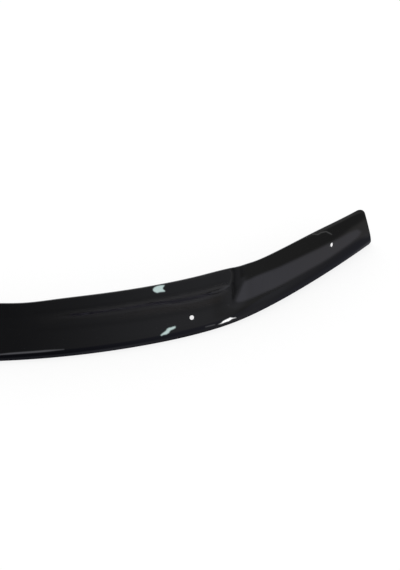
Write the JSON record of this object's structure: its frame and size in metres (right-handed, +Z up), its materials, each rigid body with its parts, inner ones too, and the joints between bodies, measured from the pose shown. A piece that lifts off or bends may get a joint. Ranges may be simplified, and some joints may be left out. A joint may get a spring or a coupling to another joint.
{
  "type": "hood deflector",
  "caption": "Wrap-around deflector strip for the leading edge of a car hood, thermoformed from gloss black acrylic sheet, with drilled fixing holes.",
  "frame": {"origin": "centre of the bounding box in plan, at the height of the lower edge", "axes": "+X across the car along the strip's width, +Y towards the rear of the car, +Z up; the outer face looks towards -Y"},
  "size_m": [1.3818, 0.2706, 0.0986],
  "materials": {
    "black_acrylic": "high-gloss black cast acrylic sheet, edges flame-polished, very faint forming ripple, a little dust"
  },
  "bodies": {
    "root": {"deflector": "black_acrylic"}
  },
  "joints": []
}
